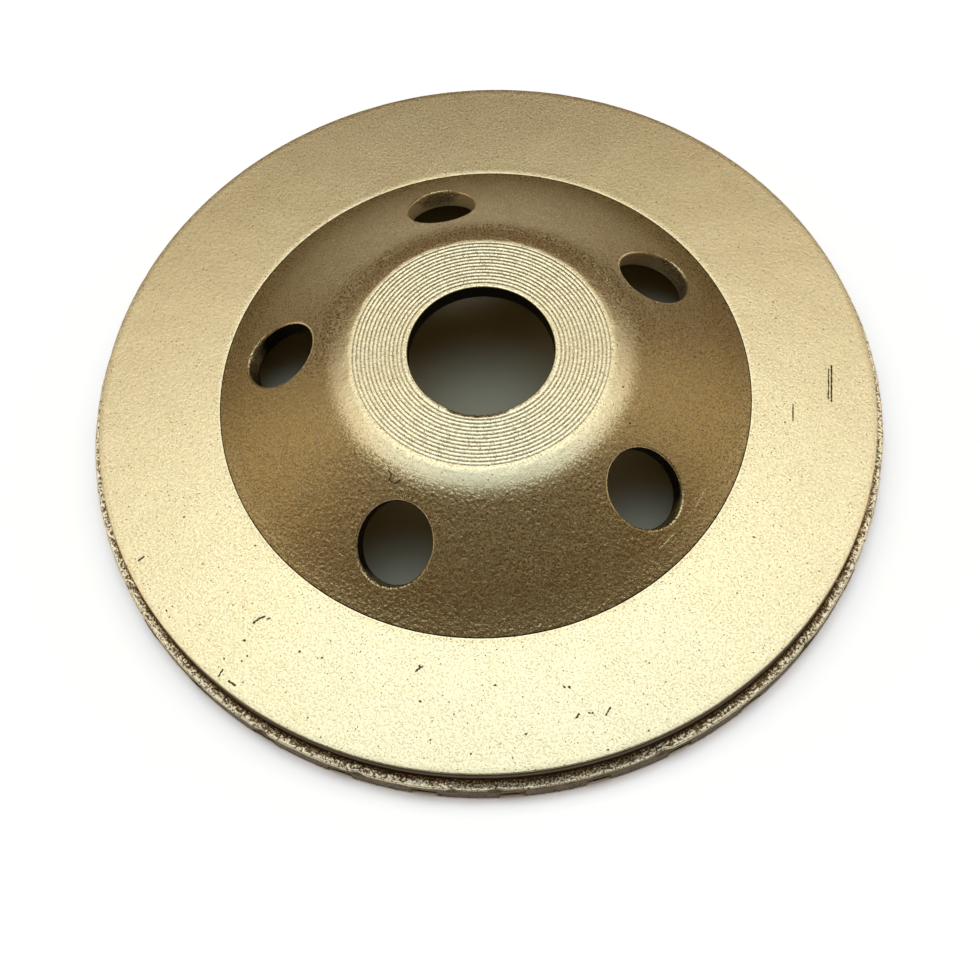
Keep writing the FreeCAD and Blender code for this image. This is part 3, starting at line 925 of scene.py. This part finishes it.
def flange_run(sizes, shape):
    """Half section over the flange, from the wall's band round its foot to the band inside."""
    top, foot, edge = shape.flange_top, sizes.foot_height, sizes.edge_round
    inner_root = sizes.root_radius + sizes.sheet
    under_start = shape.root[0] - sqrt(inner_root**2 - (shape.root[1] - foot) ** 2)
    lean = (sizes.foot_radius - sizes.flange_radius) / sizes.sheet
    side_top = (sizes.flange_radius + edge * lean, top - edge)
    crease = [(shape.crease + past, top - under) for past, under in CREASE]
    return [
        *shape.run(BAND[1], shape.crease - 0.12 * MM, 6, 0.0),
        *crease,
        *run(crease[-1], (sizes.flange_radius - edge, top), 20),
        *arc((side_top[0] - edge, side_top[1]), edge, 90.0, 0.0, 6),
        *run(side_top, (sizes.foot_radius, foot), 4),
        (sizes.foot_radius, foot + 0.01 * MM),
        (sizes.foot_radius - BESIDE, foot),
        *run((sizes.foot_radius, foot), (under_start, foot), 6),
        (under_start + UNDER_FOOT, foot),
        *shape.run(under_start - UNDER_FOOT, INNER_BAND[1], 5, sizes.sheet),
    ]


def cup_sector(sizes, shape):
    """One vent's share of the cup, open at its two sides."""
    skin = Skin()
    half_turn = pi / sizes.vent_count

    def rows(section, columns):
        turns = steps(-half_turn, half_turn, columns + 1)
        made = [skin.row([polar(place[0], turn, place[1]) for turn in turns]) for place in section]
        skin.join_all(made)
        return made

    def rim(depth, rolled, inwards):
        """Rings round a vent and over its rounded rim, on one side of the sheet."""
        rings = [(grown, 0.0) for grown in RIM_RINGS]
        for turn in map(radians, RIM_STEPS):
            rings.append((rolled * (1 - sin(turn)), inwards * rolled * (1 - cos(turn))))
        return [skin.row(shape.rim(grown, depth, sunk)) for grown, sunk in rings]

    hub = rows(hub_run(sizes, shape), HUB_COLUMNS)
    flange = rows(flange_run(sizes, shape), FLANGE_COLUMNS)
    front = rim(0.0, sizes.vent_round, 1.0)
    back = rim(sizes.sheet, INNER_ROLL, -1.0)
    ends = [[skin.points[number] for number in ring] for ring in (front[-1], back[-1])]
    cut = [skin.row([here.lerp(there, share) for here, there in zip(*ends)]) for share in CUT_ROWS]
    skin.join_all([*front, *cut, *reversed(back)], closed=True)
    pierced_band(skin, shape, 0.0, hub[0], flange[0], front[0], half_turn)
    pierced_band(skin, shape, sizes.sheet, hub[-1], flange[-1], back[0], half_turn)
    return skin


# Chips in the bore's edge: direction and half width in degrees, and depth as a share
BORE_CHIPS = (
    (-72.0, 1.8, 0.45), (-68.5, 1.2, 0.7), (-65.0, 1.5, 0.5), (-61.0, 1.3, 0.8), (-57.5, 1.6, 0.6),
    (-51.3, 2.2, 1.0), (-46.0, 1.4, 0.5), (-41.5, 1.8, 0.7), (-36.0, 1.5, 0.6), (-30.5, 1.6, 0.5),
)
CHIP_DROP, CHIP_REACH = 0.35 * MM, 0.3 * MM  # how far the deepest chip goes down and outwards
RUN_OUT, RUN_OUT_FADE = 1.6 * MM, 0.8 * MM  # where the facing cut ends past the hub, and its fade
# Unevenness of the cup: size of its features and depth
RAGGED_CUT = (1.3 * MM, 0.035 * MM)
FLANGE_SWELL = (9.0 * MM, 0.012 * MM)
SIDE_DENTS = (2.2 * MM, 0.12 * MM)
DENT_FLOOR = 0.35  # roughness under which the flange's side has no dent


def pick(points, radius, low, inner, outer):
    """Numbers of the points over a height and between two distances from the axis."""
    return np.nonzero((points[:, 2] > low) & (radius > inner) & (radius < outer))[0]


def wear_cup(piece, sizes, shape):
    """Lets the facing cut run out raggedly, nicks the bore and makes the sheet uneven."""
    points, radius, turn = read_points(piece)
    hub, top, edge = sizes.hub_radius, sizes.hub_height, sizes.flange_radius
    end = hub + RUN_OUT
    picked = pick(points, radius, top - 0.6 * MM, hub - 0.8 * MM, end)
    size, depth = RAGGED_CUT
    fade = np.clip((end - radius[picked]) / RUN_OUT_FADE, 0.0, 1.0)
    for number, bump in zip(picked, depth * rough(points[picked], size, 3) * fade):
        points[number, 2] = min(points[number, 2], shape.height(radius[number]) + bump)

    at_bore = pick(points, radius, top - 0.5 * MM, 0.0, sizes.bore_radius + 0.5 * MM)
    for middle, wide, deep in BORE_CHIPS:
        picked = at_bore[np.abs(turn[at_bore] - middle) < 3 * wide]
        share = deep * np.exp(-(((turn[picked] - middle) / wide) ** 2))
        points[picked, 2] -= CHIP_DROP * share
        push_in(points, picked, -CHIP_REACH * share, radius)

    low, start = shape.flange_top - 0.05 * MM, shape.crease + 0.3 * MM
    picked = pick(points, radius, low, start, edge - sizes.edge_round)
    size, depth = FLANGE_SWELL
    points[picked, 2] -= depth * (1 + rough(points[picked], size, 5))

    picked = pick(points, radius, sizes.foot_height + MM, edge - 0.6 * MM, inf)
    size, depth = SIDE_DENTS
    dents = np.maximum(0.0, rough(points[picked], size, 9, 3) - DENT_FLOOR)
    push_in(points, picked, depth * dents, radius)
    write_points(piece, points)


# Columns from the middle of a slot out over its edge, as shares of its half width
SLOT_COLUMNS = (0.0, 0.5, 0.85, 0.93, 0.985, 0.999, 1.02, 1.08, 1.16)
LAND_COLUMNS = 13
FLOOR_ROUND = (0.35 * MM, 0.3 * MM)  # round of a slot's floor, across and up
MOUTH_ROUND = (0.25 * MM, 0.08 * MM)  # worn edge of its mouth, across and up


def slot_floor(offset, ring):
    """Height of the working face at a distance across from the middle of a slot."""
    inside = ring.slot_width / 2 - offset
    across, up = MOUTH_ROUND
    if inside <= 0:
        return max(0.0, up * (1 + inside / across))
    across, up = FLOOR_ROUND
    return ring.slot_depth - up * max(0.0, 1 - inside / across) ** 2


def slot_turn(offset, radius, ring):
    """Direction from the axis of a line beside a swept slot, at a distance from the axis."""
    sweep = ring.slot_sweep
    inward = Vector((-cos(sweep), -sin(sweep)))
    across = Vector((-sin(sweep), cos(sweep)))
    start = Vector((ring.outer_radius, 0.0)) + offset * across
    ahead = -start.dot(inward)
    reach = ahead - sqrt(ahead**2 - start.length_squared + radius**2)
    point = start + reach * inward
    return atan2(point.y, point.x)


# Heights of the rows on the ring's wall, in mm
WALL_ROWS = (0.7, 1.1, 1.5, 1.9, 2.1, 2.4, 2.7, 3.0, 3.25, 3.45)
# The ledge from the lip in to the steel: how far past the steel and over the lip, in mm
LEDGE = ((1.15, -0.04), (0.85, -0.09), (0.6, -0.08), (0.35, 0.03), (0.15, 0.2))
FOOT_ROUND, LIP_ROUND, BRAZED_ROUND = 0.25 * MM, 0.22 * MM, 0.15 * MM


def ring_section(ring):
    """Half section of the ring, a closed run that starts inside on the working face."""
    inner, outer = ring.outer_radius - ring.width + ring.skin, ring.outer_radius - ring.skin
    low, top = ring.skin, ring.height
    lip, lip_top = ring.lip_radius - ring.skin, top - ring.lip_drop
    steel = CUP_HIGH.x
    lean = (outer - lip) / (lip_top - low)
    return [
        *run((inner, low), (outer, low), 14),
        *arc((outer - FOOT_ROUND, low + FOOT_ROUND), FOOT_ROUND, -80.0, -10.0, 3),
        *((outer - (height * MM - low) * lean, height * MM) for height in WALL_ROWS),
        *arc((lip - LIP_ROUND, lip_top - LIP_ROUND), LIP_ROUND, 10.0, 90.0, 4),
        *((steel + past * MM, lip_top + over * MM) for past, over in LEDGE),
        (steel + 0.02 * MM, top - 0.01 * MM),
        (steel - 0.6 * MM, top),
        *run((steel, top), (inner, top), 4),
        *arc((inner + BRAZED_ROUND, top - BRAZED_ROUND), BRAZED_ROUND, 90.0, 180.0, 3),
        *run((inner, top), (inner, low), 6),
    ]


def ring_sector(ring):
    """One slot's share of the ring, from the middle of its slot to the next, open at its sides."""
    offsets = [share * ring.slot_width / 2 for share in SLOT_COLUMNS]
    columns = [(offset, 0.0) for offset in offsets]
    columns += [(offsets[-1], share) for share in steps(0.0, 1.0, LAND_COLUMNS + 2)[1:-1]]
    columns += [(offset, 1.0) for offset in reversed(offsets)]
    pitch, brazed = tau / ring.slot_count, ring.height - 0.3 * MM
    skin = Skin()
    rows = []
    for radius, height in ring_section(ring):
        places = []
        for offset, share in columns:
            first = slot_turn(offset, radius, ring)
            turn = first + (slot_turn(-offset, radius, ring) + pitch - first) * share
            floor = slot_floor(offset, ring)
            if floor > 0 and height < brazed:
                floor += ring.skin
            places.append(polar(radius, turn, max(height, floor)))
        rows.append(skin.row(places))
    skin.join_all([*rows, rows[0]])
    return skin


LIP_NOTCHES = (-107.7, -78.8, -65.0, -52.6, -47.0, -25.1, -0.8, 28.0)  # directions in degrees
NOTCH_DEPTH = 0.3 * MM
NOTCH_WIDTHS = (0.45, 0.65, 0.85)  # half widths in degrees, taken in turn
BOND_GRAIN, BOND_WAVES, BOND_DEPTH = 1.1 * MM, 6.0 * MM, 0.09 * MM
LEDGE_GRAIN, LEDGE_DEPTH = 0.9 * MM, 0.05 * MM
BROKEN = (-52.6, -25.1)  # between these directions the ledge has lost its skin
BROKEN_DEPTH, BROKEN_SLOPE = 0.14 * MM, 0.3  # the slope at its end is in degrees


def wear_ring(piece, ring):
    """Makes the moulded bond uneven, and breaks small pieces out of its lip."""
    points, radius, turn = read_points(piece)
    picked = pick(points, radius, 0.2 * MM, CUP_HIGH.x + 0.25 * MM, inf)
    inward = 0.5 + 0.5 * rough(points[picked], BOND_GRAIN, 2, 3)
    inward += 0.5 + 0.5 * rough(points[picked], BOND_WAVES, 4, 1)
    shift = BOND_DEPTH * np.clip(inward, 0.0, None)
    lip = (points[picked, 2] > 3.0 * MM).astype(float)
    for number, notch in enumerate(LIP_NOTCHES):
        away = (turn[picked] - notch) / NOTCH_WIDTHS[number % 3]
        shift += lip * NOTCH_DEPTH * np.exp(-(away**2))
    push_in(points, picked, shift, radius)

    picked = pick(points, radius, 3.4 * MM, CUP_HIGH.x + 0.1 * MM, inf)
    drop = LEDGE_DEPTH * (1 + rough(points[picked], LEDGE_GRAIN, 6, 3))
    first, last = BROKEN
    broken = np.clip((last - turn[picked]) / BROKEN_SLOPE, 0.0, 1.0) * (turn[picked] > first)
    points[picked, 2] -= np.clip(drop, 0.0, None) + BROKEN_DEPTH * broken
    write_points(piece, points)


def round_piece(sector, name, number, material):
    """The piece that one sector makes when it is repeated round the axis."""
    piece = sector.object(name)
    values = {"Count": number, "Weld": WELD, "Material": material}
    run_tree(piece, repeat_round_tree(), values)
    face_outwards(piece)
    return piece


def mounted(piece, node):
    """Rides a finished piece on the wheel in place of its CAD node."""
    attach(piece, "root")
    if node:
        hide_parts(node)


class WHEEL_OT_steel_cup(bpy.types.Operator):
    """Build the gold sprayed steel cup"""

    bl_idname = "cup_wheel.steel_cup"
    bl_label = "Steel cup"

    def execute(self, context):
        sizes = context.scene.steel_cup_sizes
        shape = CupShape(sizes)
        gold = gold_paint(sizes, shape, context.scene.gold_paint)
        sector = cup_sector(sizes, shape)
        piece = round_piece(sector, "gold_steel_cup", sizes.vent_count, gold)
        wear_cup(piece, sizes, shape)
        mounted(piece, "steel_cup")
        return {"FINISHED"}


class WHEEL_OT_abrasive_ring(bpy.types.Operator):
    """Build the sintered abrasive ring"""

    bl_idname = "cup_wheel.abrasive_ring"
    bl_label = "Abrasive ring"

    def execute(self, context):
        ring = context.scene.abrasive_ring_sizes
        bond = sintered_bond(ring)
        piece = round_piece(ring_sector(ring), "sintered_ring", ring.slot_count, bond)
        wear_ring(piece, ring)
        mounted(piece, "abrasive_ring")
        return {"FINISHED"}


class WHEEL_OT_diamond_grit(bpy.types.Operator):
    """Scatter the diamond grit in the skin of the ring"""

    bl_idname = "cup_wheel.diamond_grit"
    bl_label = "Diamond grit"

    def execute(self, context):
        ring = context.scene.abrasive_ring_sizes
        grit = context.scene.grit_sizes
        skin = context.scene.objects.get("sintered_ring")
        if skin is None:
            raise RuntimeError("The grit sits in the ring's skin: build the ring first.")
        grains = bpy.data.objects.new("diamond_grit", skin.data.copy())
        context.scene.collection.objects.link(grains)
        values = {
            "Density": grit.density,
            "Grain": grit.grain,
            "Top": ring.height - 0.2 * MM,
            "Seed": grit.seed,
            "Material": diamond_grit(ring),
        }
        run_tree(grains, scatter_grit_tree(), values)
        points, radius, _ = read_points(grains)
        points[:, 2] = np.maximum(points[:, 2], 0.0)
        points[:, :2] *= np.minimum(1.0, ring.outer_radius / radius)[:, None]
        write_points(grains, points)
        mounted(grains, None)
        return {"FINISHED"}


CAMERA_PLACE = Vector((65.039, -63.382, 163.130)) * MM
CAMERA_AIM = Vector((13.063, -13.324, 7.0)) * MM
CAMERA_ROLL = radians(-5.122)
CAMERA_LENS = 41.671
BACKDROP_TOP = 0.0  # height, on the sphere of directions, where the backdrop ends
WHITE = (1.0, 1.0, 1.0, 1.0)


def aim_camera(scene):
    """The camera stands where the photograph was taken from."""
    data = bpy.data.cameras.new("camera")
    data.lens = CAMERA_LENS
    data.sensor_width = 36.0
    data.clip_start = 0.01
    camera = bpy.data.objects.new("camera", data)
    scene.collection.objects.link(camera)
    ahead = (CAMERA_AIM - CAMERA_PLACE).normalized()
    level = ahead.cross(Vector((0.0, 0.0, 1.0))).normalized()
    right = cos(CAMERA_ROLL) * level + sin(CAMERA_ROLL) * level.cross(ahead)
    up = right.cross(ahead)
    turned = Matrix((right, up, -ahead)).transposed()
    camera.matrix_world = Matrix.Translation(CAMERA_PLACE) @ turned.to_4x4()
    scene.camera = camera
    return ahead


# Soft lights of the studio: name, direction round the wheel from its far side and height over
# the floor in degrees, how far from there the light is full and where it ends in degrees,
# strength, and colour
SOFT_LIGHTS = (
    ("overhead", 0.0, 80.0, 9.0, 32.0, 1.06, "#C2E1FF"),
    ("overhead_far", 0.0, 70.0, 4.0, 16.0, 0.7, "#C8E8FF"),
    ("left", -53.0, 66.0, 6.0, 26.0, 0.85, "#DEF0FF"),
    ("right", 53.0, 66.0, 6.0, 26.0, 0.85, "#DEF0FF"),
    ("far_left", -25.0, 60.0, 4.0, 18.0, 0.6, "#FFE3B0"),
    ("far_right", 25.0, 60.0, 4.0, 18.0, 0.6, "#FFE3B0"),
    ("side_left", -75.0, 47.0, 5.0, 24.0, 0.65, "#FFF0D6"),
    ("side_right", 75.0, 47.0, 5.0, 24.0, 0.6, "#FFF0D6"),
    ("low_left", -80.0, 8.0, 8.0, 28.0, 0.7, "#FFE8BE"),
    ("low_right", 80.0, 8.0, 8.0, 28.0, 0.65, "#FFE8BE"),
)
ROOM = ("#FFCF8C", 0.125)  # colour and strength of the dim room round them


def light_room(scene, ahead):
    """Soft lights over the wheel and low at its sides; nothing lights it from the viewer.

    The camera sees white, and reflections do where the floor ends.
    """
    far = Vector((ahead.x, ahead.y, 0.0)).normalized()
    right = far.cross(Vector((0.0, 0.0, 1.0)))
    scene.world = bpy.data.worlds.new("studio_room")
    scene.world.use_nodes = True
    room = Nodes(scene.world.node_tree)
    direction = room.add("ShaderNodeTexCoord", out="Generated")
    shade, strength = ROOM
    glow = tuple(part * strength for part in linear(shade))
    for name, turn, height, full, gone, strength, shade in SOFT_LIGHTS:
        turn, height = radians(turn), radians(height)
        toward = cos(height) * (cos(turn) * far + sin(turn) * right)
        toward.z = sin(height)
        near = {0: direction, 1: tuple(toward)}
        near = room.add("ShaderNodeVectorMath", near, "Value", label=name, operation="DOT_PRODUCT")
        share = near.ease(cos(radians(gone)), cos(radians(full)))
        lit = {0: tuple(part * strength for part in linear(shade)), "Scale": share}
        glow = {0: glow, 1: room.add("ShaderNodeVectorMath", lit, operation="SCALE")}
        glow = room.add("ShaderNodeVectorMath", glow, operation="ADD")
    low = room.add("ShaderNodeSeparateXYZ", {0: direction}, "Z") < BACKDROP_TOP
    rays = room.add("ShaderNodeLightPath", out=None)
    mirrored = most(rays["Is Glossy Ray"], rays["Is Transmission Ray"]) * low
    lights, white = (
        room.add("ShaderNodeBackground", {"Color": shade, "Strength": 1.0})
        for shade in (glow, WHITE)
    )
    both = {0: most(rays["Is Camera Ray"], mirrored), 1: lights, 2: white}
    both = room.add("ShaderNodeMixShader", both)
    room.add("ShaderNodeOutputWorld", {"Surface": both}, None)


class WHEEL_OT_studio(bpy.types.Operator):
    """Set up the floor, the light and the camera"""

    bl_idname = "cup_wheel.studio"
    bl_label = "Studio"

    def execute(self, context):
        scene = context.scene
        studio = scene.studio_settings
        half = studio.floor_size / 2
        skin = Skin()
        near = skin.row([Vector((-half, -half, 0.0)), Vector((half, -half, 0.0))])
        far_row = skin.row([Vector((-half, half, 0.0)), Vector((half, half, 0.0))])
        skin.join(near, far_row)
        floor = skin.object("paper_floor")
        floor.data.materials.append(floor_paper(studio.floor, RING_HIGH.x))

        light_room(scene, aim_camera(scene))
        scene.view_settings.view_transform = "Standard"
        return {"FINISHED"}


class WHEEL_PT_panel(bpy.types.Panel):
    """The wheel's pieces and sizes"""

    bl_label = "Cup wheel"
    bl_idname = "WHEEL_PT_panel"
    bl_space_type = "VIEW_3D"
    bl_region_type = "UI"
    bl_category = "Cup wheel"

    def draw(self, context):
        for operator in OPERATORS:
            self.layout.operator(operator.bl_idname)
        for name, group in GROUPS.items():
            box = self.layout.box()
            box.label(text=group.__doc__.strip("."))
            for prop in group.__annotations__:
                box.prop(getattr(context.scene, name), prop)


GROUPS = {
    "steel_cup_sizes": SteelCupSizes,
    "gold_paint": GoldPaint,
    "abrasive_ring_sizes": AbrasiveRingSizes,
    "grit_sizes": GritSizes,
    "studio_settings": StudioSettings,
}
OPERATORS = (
    WHEEL_OT_steel_cup,
    WHEEL_OT_abrasive_ring,
    WHEEL_OT_diamond_grit,
    WHEEL_OT_studio,
)


def register():
    for cls in (*GROUPS.values(), *OPERATORS, WHEEL_PT_panel):
        bpy.utils.register_class(cls)
    for name, group in GROUPS.items():
        setattr(bpy.types.Scene, name, bpy.props.PointerProperty(type=group))


def unregister():
    for name in GROUPS:
        delattr(bpy.types.Scene, name)
    for cls in reversed((*GROUPS.values(), *OPERATORS, WHEEL_PT_panel)):
        bpy.utils.unregister_class(cls)


def main():
    register()
    bpy.ops.cup_wheel.steel_cup()
    bpy.ops.cup_wheel.abrasive_ring()
    bpy.ops.cup_wheel.diamond_grit()
    bpy.ops.cup_wheel.studio()


if __name__ == "__main__":
    main()
